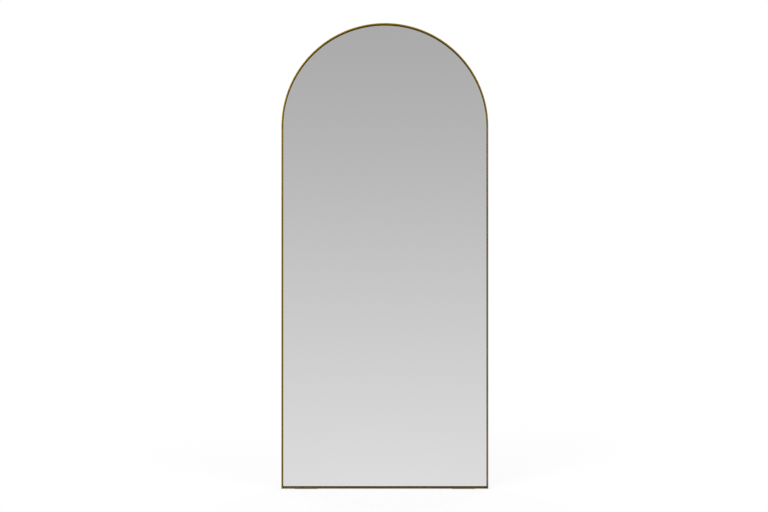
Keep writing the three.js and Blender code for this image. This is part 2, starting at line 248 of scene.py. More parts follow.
def shell(name, points, faces, attributes=None):
    """A smooth mesh of these points and faces, sharp at edges that turn past SHARP_ANGLE.

    Doubles are merged, faces turned outward, and faces of more than four corners cut into
    triangles. Attributes hold a number or a vector for each point.
    """
    mesh = bpy.data.meshes.new(name)
    mesh.from_pydata(points, [], faces)
    for key, values in (attributes or {}).items():
        kind, field = ("FLOAT", "value") if values.ndim == 1 else ("FLOAT_VECTOR", "vector")
        layer = mesh.attributes.new(key, kind, "POINT")
        layer.data.foreach_set(field, np.ascontiguousarray(values, np.float32).ravel())
    work = bmesh.new()
    work.from_mesh(mesh)
    bmesh.ops.remove_doubles(work, verts=work.verts, dist=MERGE_DISTANCE)
    bmesh.ops.recalc_face_normals(work, faces=work.faces)
    many_sided = [face for face in work.faces if len(face.verts) > 4]
    bmesh.ops.triangulate(work, faces=many_sided, ngon_method="BEAUTY")
    work.to_mesh(mesh)
    work.free()
    mesh.polygons.foreach_set("use_smooth", np.ones(len(mesh.polygons), bool))
    mesh.set_sharp_from_angle(angle=SHARP_ANGLE)
    return mesh


def right_angled_loop(corners, radius, band, steps=4):
    """A loop of rounded right-angled corners: its points, their outward normals, an edge mask.

    A corner P between unit directions a (towards it) and b (away from it) becomes the quarter
    circle P - radius a + radius b + radius (a sin t - b cos t). A point lies band before and band
    beyond each quarter, where the mask has fallen from 1 to 0.
    """
    corners = np.asarray(corners, float)
    to = corners - np.roll(corners, 1, axis=0)
    to /= np.linalg.norm(to, axis=1, keepdims=True)
    away = np.roll(to, -1, axis=0)
    t = np.linspace(0, pi / 2, steps + 1)
    a, b = to[:, None, :], away[:, None, :]
    centre = corners[:, None, :] - radius * a + radius * b
    turning = a * np.sin(t)[:, None] - b * np.cos(t)[:, None]
    quarter = centre + radius * turning
    before = quarter[:, :1] - band * a
    beyond = quarter[:, -1:] + band * b
    loop = np.concatenate([before, quarter, beyond], axis=1)
    normal = np.concatenate([turning[:, :1], turning, turning[:, -1:]], axis=1)
    mask = np.zeros(loop.shape[:2])
    mask[:, 1:-1] = 1
    return loop.reshape(-1, 2), normal.reshape(-1, 2), mask.ravel()


def quarter_inset(distance, radius):
    """How far a rounded end is drawn in, at a distance from its tip.

    It is radius - (radius^2 - (radius - distance)^2)^(1/2), and 0 beyond the radius.
    """
    into = np.clip(radius - distance, 0, radius)
    return radius - np.sqrt(radius**2 - into**2)


def quarter_steps(radius, steps):
    """Distances from a rounded end's tip that cut its quarter circle into equal steps."""
    return radius * (1 - np.cos(np.linspace(0, pi / 2, steps + 1)))


def arc(centre, radius, start, end, steps):
    """Points of an arc in a plane, from angle start to angle end."""
    angle = np.linspace(start, end, steps + 1)
    return np.stack(
        [centre[0] + radius * np.cos(angle), centre[1] + radius * np.sin(angle)], axis=-1
    )


def turned(profile, steps):
    """Rings round the Z axis, from a profile of (radius, height) points."""
    profile = np.asarray(profile, float)
    angle = np.linspace(0, 2 * pi, steps, endpoint=False)
    radius, height = profile[:, :1], profile[:, 1:]
    return np.stack(
        [radius * np.cos(angle), radius * np.sin(angle), height + 0 * angle], axis=-1
    )


def facing_back(points, x, y, z):
    """Points drawn with +Z up, laid so that up is +Y, from the point x, y, z."""
    return np.stack([points[..., 0] + x, points[..., 2] + y, z - points[..., 1]], axis=-1)


# ---------------- shader maths


class Wire:
    """A socket of a node tree on which arithmetic adds Math nodes."""

    def __init__(self, tree, socket):
        self.tree = tree
        self.socket = socket

    def math(self, operation, *others, first=None):
        """A Math node on this value and the others, or on first and this value."""
        values = [self, *others] if first is None else [first, self]
        settings = {"operation": operation}
        return self.tree.add("ShaderNodeMath", settings, dict(enumerate(values)))

    def __add__(self, other):
        return self.math("ADD", other)

    def __sub__(self, other):
        return self.math("SUBTRACT", other)

    def __rsub__(self, other):
        return self.math("SUBTRACT", first=other)

    def __mul__(self, other):
        return self.math("MULTIPLY", other)

    def __truediv__(self, other):
        return self.math("DIVIDE", other)

    __radd__ = __add__
    __rmul__ = __mul__

    def ramp(self, low, high, to=(0, 1)):
        """A smooth step between two values of this one, from to[0] to to[1]."""
        settings = {"interpolation_type": "SMOOTHSTEP"}
        inputs = {0: self, 1: low, 2: high, 3: to[0], 4: to[1]}
        return self.tree.add("ShaderNodeMapRange", settings, inputs)


class Tree:
    """Adds nodes to one node tree."""

    def __init__(self, owner):
        owner.use_nodes = True
        self.nodes = owner.node_tree.nodes
        self.links = owner.node_tree.links
        self.nodes.clear()

    def add(self, kind, settings=None, inputs=None, output=0):
        """A new node: its settings are made first, then its sockets linked or set.

        It gives the output that output names, as a Wire.
        """
        node = self.nodes.new(kind)
        for name, value in (settings or {}).items():
            if name == "stops":
                self.set_stops(node.color_ramp, value)
            else:
                setattr(node, name, value)
        for key, value in (inputs or {}).items():
            if isinstance(value, Wire):
                self.links.new(value.socket, node.inputs[key])
            elif not hasattr(value, "__len__") or len(value) == len(
                node.inputs[key].default_value
            ):
                node.inputs[key].default_value = value
            else:
                node.inputs[key].default_value = (*value, 1)
        return Wire(self, node.outputs[output]) if node.outputs else None

    @staticmethod
    def set_stops(ramp, stops):
        while len(ramp.elements) < len(stops):
            ramp.elements.new(1)
        for element, (position, value) in zip(ramp.elements, stops):
            element.position = position
            element.color = (value, value, value, 1)

    def place(self):
        """Object coordinates: metres in the mirror's own frame."""
        return self.add("ShaderNodeTexCoord", output="Object")

    def own(self, attribute, output="Vector"):
        """An attribute that the piece's own mesh holds."""
        return self.add("ShaderNodeAttribute", {"attribute_name": attribute}, output=output)

    def stretched(self, vector, scale):
        """The vector with each axis multiplied: noise on it runs along the axis scaled least."""
        return self.add(
            "ShaderNodeMapping", {"vector_type": "POINT"}, {"Vector": vector, "Scale": scale}
        )

    def noise(self, vector, scale=1.0, detail=3.0, roughness=0.55):
        inputs = {"Vector": vector, "Scale": scale, "Detail": detail, "Roughness": roughness}
        return self.add("ShaderNodeTexNoise", None, inputs, output="Fac")

    def specks(self, vector, scale, size):
        """1 on small round specks scattered over the surface, 0 between them."""
        distance = self.add(
            "ShaderNodeTexVoronoi", None, {"Vector": vector, "Scale": scale}, output="Distance"
        )
        return distance.ramp(size * 0.6, size, to=(1, 0))

    def mixed(self, factor, first, second):
        """The first colour where factor is 0, the second where it is 1."""
        settings = {"data_type": "RGBA"}
        return self.add("ShaderNodeMix", settings, {0: factor, 6: first, 7: second}, output=2)

    def bump(self, height, depth, strength=1.0):
        """A normal from a height from 0 to 1 that stands for depth metres."""
        inputs = {"Strength": strength, "Distance": depth, "Height": height}
        return self.add("ShaderNodeBump", None, inputs)

    def rays(self, kind):
        """1 for rays of that kind, 0 for the others."""
        return self.add("ShaderNodeLightPath", output=f"Is {kind} Ray")

    def seen(self):
        """1 for what the eye or a ray through glass meets, 0 for what only sends light."""
        return self.rays("Camera").math("MAXIMUM", self.rays("Transmission"))

    def surface(self, **inputs):
        """The tree's one Principled surface, with inputs named by their sockets' words."""
        named = {key.replace("_", " "): value for key, value in inputs.items()}
        shader = self.add("ShaderNodeBsdfPrincipled", None, named)
        self.add("ShaderNodeOutputMaterial", None, {"Surface": shader})


def new_finish(name):
    """A new material and its tree, named apart from the frame's own materials."""
    material = bpy.data.materials.new(f"{name}_finish")
    return material, Tree(material)


# ---------------- finishes

# Scales of noise are per metre: 170 gives patches of about 6 mm.


def antique_brass(settings):
    """Brass plate, brushed along each bar, clouded, rubbed bright on its edges, browner behind."""
    finish = settings.bars
    material, tree = new_finish("antique_brass")
    place = tree.place()
    along_bar = tree.own("bar_place")
    hairline = tree.noise(tree.stretched(along_bar, (14, 2600, 2600)), detail=2)
    scratch = tree.noise(tree.stretched(along_bar, (5, 700, 700)), detail=4)
    cloud = tree.noise(place, 7, 5, 0.6).ramp(0.35, 0.7)
    fleck = tree.noise(place, 170, 3).ramp(0.55, 0.78)
    rubbing = tree.noise(tree.stretched(along_bar, (7, 90, 90)))
    edge = tree.own("edge", output="Fac") * rubbing.ramp(0.3, 0.65)
    height = tree.add("ShaderNodeSeparateXYZ", None, {0: place}, output="Z")
    # Darker towards the floor: within 40 mm of it the plate is mixed further towards the tarnish colour.
    darker_near_floor = height.ramp(4 * MM, 40 * MM, to=(0.5, 0))
    front, rear = (corner.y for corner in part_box("bottom_rail"))
    depth = tree.add("ShaderNodeSeparateXYZ", None, {0: place}, output="Y")
    uneven = (cloud - 0.5) * (6 * MM) + (scratch - 0.5) * (14 * MM)
    browning_starts, browning_ends = front + 2 * MM, rear - 3 * MM
    behind = (depth + uneven).ramp(browning_starts, browning_ends)
    tarnish_and_darker_near_floor = cloud * 0.4 + fleck * 0.14 + (scratch - 0.5) * 0.3 + darker_near_floor
    base = tree.mixed(tarnish_and_darker_near_floor, finish.brass, finish.tarnish)
    base = tree.mixed(behind * (cloud * 0.2 + 0.72), base, finish.unrubbed)
    base = tree.mixed(edge * (0.45 - behind * 0.2), base, finish.rubbed)
    grain = hairline * 0.6 + scratch * 0.4
    tree.surface(
        Base_Color=base,
        Metallic=1.0,
        Roughness=cloud * 0.1 + (hairline - 0.5) * 0.16 + fleck * 0.08 - edge * 0.08
        + behind * 0.05 + (finish.roughness - 0.04),
        Specular_Tint=finish.edge_tint,
        Normal=tree.bump(grain, 0.02 * MM, finish.brushing),
    )
    return material


def silvered_glass(settings):
    """A flat, clean mirror with the faintest trace of wiping."""
    finish = settings.glass
    material, tree = new_finish("silvered_glass")
    place = tree.place()
    wiped = tree.noise(tree.stretched(place, (3, 1, 1.2)), 2.2, 4, 0.6)
    streak = tree.noise(tree.stretched(place, (9, 1, 1.5)), 3, 2).ramp(0.5, 0.8)
    tree.surface(
        Base_Color=finish.silver,
        Metallic=1.0,
        Roughness=wiped * finish.haze + streak * (finish.haze / 2),
    )
    return material


def glass_edge(settings):
    """The pane's polished edge, which mirrors the brass beside it, with lines from the wheel."""
    finish = settings.glass
    material, tree = new_finish("glass_edge")
    place = tree.place()
    ground = tree.noise(tree.stretched(place, (400, 2500, 400)), detail=2)
    darker = tuple(0.8 * c for c in finish.glass_edge)
    tree.surface(
        Base_Color=tree.mixed(ground, finish.glass_edge, darker),
        Metallic=1.0,
        Roughness=ground * 0.12 + 0.1,
        Normal=tree.bump(ground, 0.01 * MM, 0.3),
    )
    return material


def safety_film(settings):
    """Grey film with a fine crossed scrim in it."""
    finish = settings.back
    material, tree = new_finish("safety_film")
    place = tree.place()
    threads = {"Vector": place, "Scale": 90}
    across = tree.add("ShaderNodeTexWave", {"bands_direction": "X"}, threads)
    up = tree.add("ShaderNodeTexWave", {"bands_direction": "Z"}, threads)
    scrim = tree.add("ShaderNodeSeparateColor", None, {0: across}).ramp(0.7, 1)
    scrim = scrim + tree.add("ShaderNodeSeparateColor", None, {0: up}).ramp(0.7, 1)
    tree.surface(
        Base_Color=tree.mixed(scrim * 0.25, finish.film, (0.75, 0.77, 0.78)),
        Roughness=0.4 - scrim * 0.08,
        Normal=tree.bump(scrim, 0.05 * MM, 0.5),
    )
    return material


def mounting_tape(settings):
    """White foam tape, pitted by its cells."""
    finish = settings.back
    material, tree = new_finish("mounting_tape")
    place = tree.place()
    foam = {"Vector": place, "Scale": 1600}
    cells = tree.add("ShaderNodeTexVoronoi", None, foam, output="Distance")
    shade = tree.noise(place, 30, 3)
    darker = tuple(0.82 * c for c in finish.tape)
    tree.surface(
        Base_Color=tree.mixed(cells * 0.5 + shade * 0.3, finish.tape, darker),
        Roughness=cells * 0.1 + 0.8,
        Normal=tree.bump(cells, 0.1 * MM, 0.6),
    )
    return material


def painted_board(settings):
    """Fibreboard rolled with matt black paint: fibres, roller stipple, dust and a few scuffs."""
    finish = settings.back
    material, tree = new_finish("painted_board")
    place = tree.place()
    fibres = tree.noise(tree.stretched(place, (260, 260, 900)), detail=4, roughness=0.65)
    stipple = tree.noise(place, 520, 2)
    rolled = tree.noise(tree.stretched(place, (11, 1, 0.8)), detail=3)
    scuff = tree.noise(tree.stretched(place, (4, 4, 55)), detail=5, roughness=0.7)
    scuff = scuff.ramp(0.64, 0.74) * tree.noise(place, 3.1, 2).ramp(0.5, 0.65)
    settled = tree.noise(place, 6, 5, 0.6).ramp(0.4, 0.8)
    dust = settled * 0.09 + tree.specks(place, 420, 0.16) * 0.25
    base = tree.mixed(fibres.ramp(0.5, 0.75) * 0.35 + scuff * 0.5, finish.paint, finish.fibre)
    tree.surface(
        Base_Color=tree.mixed(dust, base, finish.dust),
        Roughness=rolled * 0.14 + dust * 0.6 - scuff * 0.12 + 0.52,
        Normal=tree.bump(fibres * 0.6 + stipple * 0.4, 0.12 * MM, 0.7),
    )
    return material


def black_rubber(settings):
    """Matt moulded rubber with a light bloom of dust."""
    finish = settings.back
    material, tree = new_finish("black_rubber")
    place = tree.place()
    moulded = tree.noise(place, 2200, 3)
    bloom = tree.noise(place, 130, 4, 0.6).ramp(0.4, 0.8)
    dust = bloom * 0.16 + tree.specks(place, 900, 0.2) * 0.3
    tree.surface(
        Base_Color=tree.mixed(dust, finish.rubber, finish.dust),
        Roughness=bloom * 0.14 + moulded * 0.1 + 0.62,
        Normal=tree.bump(moulded, 0.04 * MM, 0.6),
    )
    return material


def black_screw(settings):
    """Black oxide on steel, turned in fine rings and scuffed here and there by the driver."""
    finish = settings.hardware
    material, tree = new_finish("black_screw")
    place = tree.place()
    fine = tree.noise(place, 3600, 2)
    scuff = tree.noise(place, 900, 4, 0.7).ramp(0.56, 0.72)
    worn = scuff * 0.35 + tree.own("edge", output="Fac") * 0.5
    tree.surface(
        Base_Color=tree.mixed(worn, finish.black_oxide, finish.worn_oxide),
        Metallic=0.9,
        Roughness=fine * 0.14 + 0.36 - scuff * 0.06,
        Normal=tree.bump(fine, 0.01 * MM, 0.5),
    )
    return material


def zinc_plate(settings):
    """Bright zinc with a faint yellow and blue bloom, fine scratches and dull patches."""
    finish = settings.hardware
    material, tree = new_finish("zinc_plate")
    place = tree.place()
    bloom = tree.noise(place, 150, 4, 0.6)
    dull = tree.noise(place, 420, 4, 0.6).ramp(0.4, 0.75)
    scratch = tree.noise(tree.stretched(place, (2600, 900, 240)), detail=3).ramp(0.45, 0.8)
    tree.surface(
        Base_Color=tree.mixed(bloom.ramp(0.35, 0.7), finish.zinc, finish.zinc_tint),
        Metallic=1.0,
        Roughness=dull * 0.16 + scratch * 0.14 + 0.24,
        Normal=tree.bump(scratch * 0.5 + dull * 0.5, 0.012 * MM, 0.6),
    )
    return material


FINISH_OF_SLOT = {
    "antique_brass": antique_brass,
    "mirror_glass": silvered_glass,
    "safety_film": safety_film,
    "mounting_tape": mounting_tape,
    "black_board": painted_board,
    "black_rubber": black_rubber,
    "black_screw": black_screw,
    "zinc_plate": zinc_plate,
}


def finish_for(node, settings):
    """The finish of a node's material slot, made the first time that it is needed."""
    make = FINISH_OF_SLOT[SLOT_OF[node]]
    return bpy.data.materials.get(f"{make.__name__}_finish") or make(settings)


# ---------------- putting pieces in place


def stand_in(node, mesh, settings, *more_finishes):
    """Puts a mesh in a node's place: it rides on the node's body and takes its slot's finish."""
    piece = bpy.data.objects.new(f"{node}_surface", mesh)
    bpy.context.scene.collection.objects.link(piece)
    mesh.materials.append(finish_for(node, settings))
    for finish in more_finishes:
        mesh.materials.append(finish)
    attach(piece, BODY_OF[node])
    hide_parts(node)
    return piece


def finish_node(node, settings):
    """Keeps a node's own shape and gives it its slot's finish."""
    mesh = frame["nodes"][node].data
    mesh.materials.clear()
    mesh.materials.append(finish_for(node, settings))


def nodes_named(*words):
    """The nodes whose names hold one of these words."""
    return sorted(node for node in frame["nodes"] if any(word in node for word in words))


# ---------------- frame bars


def bar_section(finish):
    """The angle's section, as a rounded loop of (distance in from the outer edge, depth)."""
    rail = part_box("bottom_rail")
    front, rear, flange = rail[0].y, rail[1].y, rail[1].z - rail[0].z
    inner, step = finish.face_width, rear - finish.flange_thickness
    corners = [(0, front), (inner, front), (inner, step), (flange, step), (flange, rear), (0, rear)]
    return right_angled_loop(corners, finish.edge_radius, finish.edge_band)


def bar_mesh(node, finish, steps, place, arc_length):
    """A bar: its section carried along place, a function of station and of distance in.

    Point (s, j) is place(s, in_j) in X and Z and depth_j in Y, for s from 0 to 1. At both ends the
    section is drawn in by the joint's fine bevel. bar_place holds the same point on the bar pulled
    straight, for what runs along it.
    """
    loop, normal, mask = bar_section(finish)
    bevel = finish.joint_dressing
    s = np.linspace(0, 1, steps + 1)
    s = np.concatenate([[0, bevel / arc_length], s[1:-1], [1 - bevel / arc_length, 1]])[:, None]
    drawn_in = np.where((s == 0) | (s == 1), bevel, 0)
    inward = loop[:, 0] - drawn_in * normal[:, 0]
    depth = loop[:, 1] - drawn_in * normal[:, 1]
    x, z = place(s, inward)
    rings = np.stack([x, depth + 0 * x, z], axis=-1)
    straight = np.stack(
        [arc_length * s + 0 * x, inward + 0 * x, depth + 0 * x], axis=-1
    ).reshape(-1, 3)
    edge = np.tile(mask, len(s))
    return shell(node, *lofted(rings), {"bar_place": straight, "edge": edge})


class FLOORMIRROR_OT_frame_bars(bpy.types.Operator):
    """Make the arched head, the two stiles and the bottom rail of brass-plated angle"""

    bl_idname = "floor_mirror.frame_bars"
    bl_label = "Frame bars"
    bl_options = {"REGISTER", "UNDO"}

    def execute(self, context):
        settings = context.scene.floor_mirror
        finish = settings.bars
        arch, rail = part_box("frame_arch"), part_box("bottom_rail")
        half, spring, bottom = arch[1].x, arch[0].z, rail[0].z
        stile = spring - bottom

        def on_arch(s, inward):
            return (half - inward) * np.cos(pi * s), spring + (half - inward) * np.sin(pi * s)

        def on_right_stile(s, inward):
            return half - inward + 0 * s, bottom + inward + (stile - inward) * s

        def on_left_stile(s, inward):
            x, z = on_right_stile(s, inward)
            return -x, z

        def on_rail(s, inward):
            return (half - inward) * (2 * s - 1), bottom + inward + 0 * s

        for node, steps, place, arc_length in (
            ("frame_arch", finish.arch_steps, on_arch, pi * half),
            ("left_stile", 1, on_left_stile, stile),
            ("right_stile", 1, on_right_stile, stile),
            ("bottom_rail", 1, on_rail, 2 * half),
        ):
            stand_in(node, bar_mesh(node, finish, steps, place, arc_length), settings)
        return {"FINISHED"}


# ---------------- pane and board

# A face of the pane whose normal has a lower Y than this looks into the room and is silvered.
FACING_FRONT = -0.99


class FLOORMIRROR_OT_pane(bpy.types.Operator):
    """Make the arched mirror pane with its polished arris"""

    bl_idname = "floor_mirror.pane"
    bl_label = "Mirror pane"
    bl_options = {"REGISTER", "UNDO"}

    def execute(self, context):
        """Ring k is the outline, a half circle and two corners, drawn in by inset_k, at depth_k."""
        settings = context.scene.floor_mirror
        low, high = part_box("mirror_glass")
        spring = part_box("frame_arch")[0].z
        arris = settings.glass.arris
        bend = np.linspace(0, pi, settings.bars.arch_steps + 1)
        inset = np.array([arris, 0, 0, arris])[:, None]
        depth = np.array([low.y, low.y + arris, high.y - arris, high.y])[:, None]
        half = high.x - inset
        x = np.concatenate([half * np.cos(bend), -half, half], axis=1)
        z = np.concatenate([spring + half * np.sin(bend), low.z + inset, low.z + inset], axis=1)
        points, faces = lofted(np.stack([x, depth + 0 * x, z], axis=-1))
        mesh = shell("mirror_glass", points, faces)
        normals = np.zeros(3 * len(mesh.polygons))
        mesh.polygons.foreach_get("normal", normals)
        silvered, edge = 0, 1
        is_front = normals[1::3] < FACING_FRONT
        finish_index = np.where(is_front, silvered, edge).astype(np.int32)
        mesh.polygons.foreach_set("material_index", finish_index)
        stand_in("mirror_glass", mesh, settings, glass_edge(settings))
        return {"FINISHED"}


class FLOORMIRROR_OT_back(bpy.types.Operator):
    """Finish the board, film, tape and setting blocks, whose own shapes stay"""

    bl_idname = "floor_mirror.back"
    bl_label = "Board, film and tape"
    bl_options = {"REGISTER", "UNDO"}

    def execute(self, context):
        for node in nodes_named("board", "film", "tape", "block"):
            if "screw" not in node:
                finish_node(node, context.scene.floor_mirror)
        return {"FINISHED"}


# ---------------- screws

SCREW_TURNS_SEED = 7


def cross_depth(x, y, finish):
    """Share of the recess's depth at a point: 1 in either arm, falling to 0 across the draft."""
    width, span, draft = finish.recess_width / 2, finish.recess_span / 2, finish.recess_draft

    def arm(across, along):
        return np.interp(abs(across), [width - draft / 2, width], [1, 0]) * np.interp(
            abs(along), [span - draft, span], [1, 0]
        )

    return np.maximum(arm(x, y), arm(y, x))


def screw(head_radius, shank, turn, finish):
    """A pan-head screw, head up, with its underside at height 0 and a shank of that length.

    The top is a square net whose middle, as wide as the recess, stays square. Further out, at a
    share t of the way to the border, a point is the mix (1 - t) square + t circle of the same
    direction. Its height is rim + crown (1 - (r / R)^3)^(1/2), less the recess. The rim and the
    shank are the net's border carried down.
    """
    middle = finish.recess_span / 2
    width, draft = finish.recess_width / 2, finish.recess_draft
    rim_from = 0.97
    steps = np.array([0.18, 0.38, 0.58, 0.76, 0.9, rim_from, 1])
    outside = middle + (head_radius - middle) * steps
    half = [width - draft / 2, width, (width + middle) / 2, middle - draft, middle, *outside]
    lines = np.array([-h for h in reversed(half)] + half)
    x, y = np.meshgrid(lines, lines)
    reach = np.maximum(abs(x), abs(y))
    t = np.clip((reach - middle) / (head_radius - middle), 0, 1)
    to_square = np.where(t > 0, middle / reach, 1)
    to_circle = head_radius / np.hypot(x, y)
    scale = (1 - t) * to_square + t * to_circle
    px, py = x * scale, y * scale
    outward = np.clip(np.hypot(px, py) / head_radius, 0, 1)
    crown = finish.head_height - finish.rim_height
    height = finish.rim_height + crown * np.sqrt(1 - outward**3)
    recess = np.where(t > 0, 0, cross_depth(x, y, finish))
    net = np.stack([px, py, height - finish.recess_depth * recess], axis=-1)
    count = len(lines)
    i, j = np.meshgrid(np.arange(count - 1), np.arange(count - 1), indexing="ij")
    corner = i * count + j
    net_faces = np.stack([corner, corner + 1, corner + count + 1, corner + count], axis=-1)

    border = np.concatenate([net[0, :-1], net[:-1, -1], net[-1, :0:-1], net[:0:-1, 0]])
    bevel, tip_radius = 0.15 * MM, 0.3 * finish.shank_radius
    profile = np.array(
        [
            (head_radius, finish.rim_height),
            (head_radius, bevel),
            (head_radius - bevel, 0),
            (finish.shank_radius, 0),
            (finish.shank_radius, finish.screw_tip - shank),
            (tip_radius, -shank),
        ]
    )
    rings = border[None] * [1, 1, 0] * (profile[:, :1] / head_radius)[..., None]
    rings[..., 2] = profile[:, 1:]
    side_points, side_faces = lofted(rings, caps=(False, True), first=count**2)
    faces = net_faces.reshape(-1, 4).tolist() + side_faces
    rubbed = (recess > 0) | (t > rim_from)
    edge = np.concatenate([rubbed.ravel(), np.zeros(len(side_points))])
    points = np.concatenate([net.reshape(-1, 3), side_points])
    spin = np.array([[cos(turn), -sin(turn), 0], [sin(turn), cos(turn), 0], [0, 0, 1]])
    return points @ spin.T, faces, edge


class FLOORMIRROR_OT_screws(bpy.types.Operator):
    """Make the pan-head screws of the board and of the hangers"""

    bl_idname = "floor_mirror.screws"
    bl_label = "Screws"
    bl_options = {"REGISTER", "UNDO"}

    def execute(self, context):
        settings = context.scene.floor_mirror
        finish = settings.hardware
        turns = np.random.default_rng(SCREW_TURNS_SEED)
        for node in nodes_named("screw"):
            low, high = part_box(node)
            radius = (high.z - low.z) / 2
            shank = high.y - low.y - finish.head_height
            points, faces, edge = screw(radius, shank, turns.uniform(0, pi / 2), finish)
            placed = facing_back(
                points, (low.x + high.x) / 2, high.y - finish.head_height, (low.z + high.z) / 2
            )
            stand_in(node, shell(node, placed, faces, {"edge": edge}), settings)
        return {"FINISHED"}


# ---------------- hangers


class FLOORMIRROR_OT_hangers(bpy.types.Operator):
    """Make the rolled straps and the swinging rings of the two hangers"""

    bl_idname = "floor_mirror.hangers"
    bl_label = "Hangers"
    bl_options = {"REGISTER", "UNDO"}

    def execute(self, context):
        settings = context.scene.floor_mirror
        for joint in frame["joints"]:
            (ring,) = frame["record"]["behaviour"]["bodies"][joint["child"]]
            axis = Vector(joint["pos_m"])
            strap = ring.replace("ring", "strap")
            stand_in(strap, self.strap(strap, axis, settings.hardware), settings)
            stand_in(ring, self.ring(ring, axis, settings.hardware), settings)
        return {"FINISHED"}

    def strap(self, node, axis, finish):
        """A flat section carried up the flange and round the ring.

        The middle line runs straight up to the height of the axis and then round it, at a turn
        angle a: (y, z) = axis + radius (-cos a, sin a), its inner side facing the axis. The lower
        end is drawn in by a quarter circle at each corner, and both ends by a small one in
        thickness.
        """
        low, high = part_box(node)
        half_width, half = (high.x - low.x) / 2, finish.strap_thickness / 2
        radius = (high.y - low.y) / 2 - half
        flat = axis.z - low.z
        corner_steps, roll_steps, tip_steps = 14, 48, 4
        near = quarter_steps(finish.strap_corner, corner_steps)
        angle = np.linspace(0, finish.strap_roll, roll_steps)
        tip = radius * finish.strap_roll - quarter_steps(finish.strap_edge, tip_steps)[::-1]
        least_turn = 0.01
        angle = np.concatenate([angle[angle < tip[0] / radius - least_turn], tip / radius])
        along = np.concatenate([near, [flat / 2], flat + radius * angle])
        total = along[-1]
        turn = np.clip(along - flat, 0, None) / radius
        y = axis.y - radius * np.cos(turn)
        z = np.where(along < flat, low.z + along, axis.z + radius * np.sin(turn))
        normal = np.stack([np.cos(turn), -np.sin(turn)], axis=-1)

        corners = [
            (-half_width, -half), (half_width, -half), (half_width, half), (-half_width, half)
        ]
        edge = finish.strap_edge
        section, _, _ = right_angled_loop(corners, edge, band=edge / 2, steps=3)
        across, through = section.T
        narrower = quarter_inset(along, finish.strap_corner)[:, None]
        thinner = quarter_inset(np.minimum(along, total - along), finish.strap_edge)[:, None]
        x = axis.x + across - np.sign(across) * narrower
        out = through - np.sign(through) * np.minimum(thinner, abs(through))
        rings = np.stack(
            [x, y[:, None] + out * normal[:, :1], z[:, None] + out * normal[:, 1:]], axis=-1
        )
        return shell(node, *lofted(rings))

    def ring(self, node, axis, finish):
        """A round wire carried round a D: a straight bar on the axis, two bends, two legs, a bow.

        At each point of the middle line, with unit tangent T, the wire's section is the circle
        radius (cos a (T turned a quarter) + sin a Y).
        """
        low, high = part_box(node)
        radius = (high.y - low.y) / 2
        half = (high.x - low.x) / 2 - radius
        leg = axis.z - low.z - radius - half
        bend = finish.ring_bend
        bow_steps, bend_steps, wire_steps = 56, 10, 28
        bow = arc((0, -leg), half, 0, -pi, bow_steps)
        right = arc((half - bend, -bend), bend, pi / 2, 0, bend_steps)
        left = arc((bend - half, -bend), bend, pi, pi / 2, bend_steps)
        line = np.concatenate([right, bow, left])
        tangent = np.roll(line, -1, axis=0) - np.roll(line, 1, axis=0)
        tangent /= np.linalg.norm(tangent, axis=1, keepdims=True)
        aside = np.stack([tangent[:, 1], -tangent[:, 0]], axis=-1)
        angle = np.linspace(0, 2 * pi, wire_steps, endpoint=False)
        x = line[:, :1] + radius * np.cos(angle) * aside[:, :1]
        z = line[:, 1:] + radius * np.cos(angle) * aside[:, 1:]
        y = radius * np.sin(angle) + 0 * x
        rings = np.stack([x, y, z], axis=-1) + np.array(axis)
        return shell(node, *lofted(rings, closed=True))


# ---------------- rubber


class FLOORMIRROR_OT_rubber(bpy.types.Operator):
    """Make the wall bumpers and the floor pads"""

    bl_idname = "floor_mirror.rubber"
    bl_label = "Bumpers and pads"
    bl_options = {"REGISTER", "UNDO"}

    def execute(self, context):
        settings = context.scene.floor_mirror
        finish = settings.back
        for node in nodes_named("bumper"):
            stand_in(node, self.bumper(node, finish), settings)
        for node in nodes_named("pad"):
            stand_in(node, self.pad(node, finish), settings)
        return {"FINISHED"}

    def bumper(self, node, finish):
        """A profile turned round the depth: a rounded foot, a tapered side, a rounded flat face."""
        low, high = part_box(node)
        radius, height = (high.x - low.x) / 2, high.y - low.y
        foot, fillet, taper = finish.bumper_foot, finish.bumper_fillet, finish.bumper_taper
        top = radius - height * tan(taper)
        foot_steps, fillet_steps, steps_round, flat_border = 6, 8, 56, 0.3 * MM
        profile = np.concatenate(
            [
                [(radius - foot, 0)],
                arc((radius - foot, foot), foot, -pi / 2, taper, foot_steps)[1:],
                arc((top - fillet, height - fillet), fillet, taper, pi / 2, fillet_steps),
                [(top - fillet - flat_border, height)],
            ]
        )
        rings = facing_back(
            turned(profile, steps_round), (low.x + high.x) / 2, low.y, (low.z + high.z) / 2
        )
        return shell(node, *lofted(rings))

    def pad(self, node, finish):
        """Ring k is a rounded rectangle drawn in by inset_k, at height_k."""
        low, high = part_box(node)
        centre, size = (low + high) / 2, high - low
        edge, corner = finish.pad_edge, finish.pad_corner
        edge_points, corner_points = 5, 9
        t = np.linspace(0, pi / 2, edge_points)
        inset = edge * np.concatenate([1 - np.sin(t), 1 - np.cos(t)])
        height = np.concatenate([edge * (1 - np.cos(t)), size.z - edge * (1 - np.sin(t))])
        quarter = np.linspace(0, pi / 2, corner_points)
        angle = np.concatenate([quarter + k * pi / 2 for k in range(4)])
        side_x = np.repeat([1, -1, -1, 1], corner_points) * (size.x / 2 - corner)
        side_y = np.repeat([1, 1, -1, -1], corner_points) * (size.y / 2 - corner)
        radius = corner - inset[:, None]
        x = centre.x + side_x + radius * np.cos(angle)
        y = centre.y + side_y + radius * np.sin(angle)
        rings = np.stack([x, y, low.z + height[:, None] + 0 * x], axis=-1)
        return shell(node, *lofted(rings))


# ---------------- studio

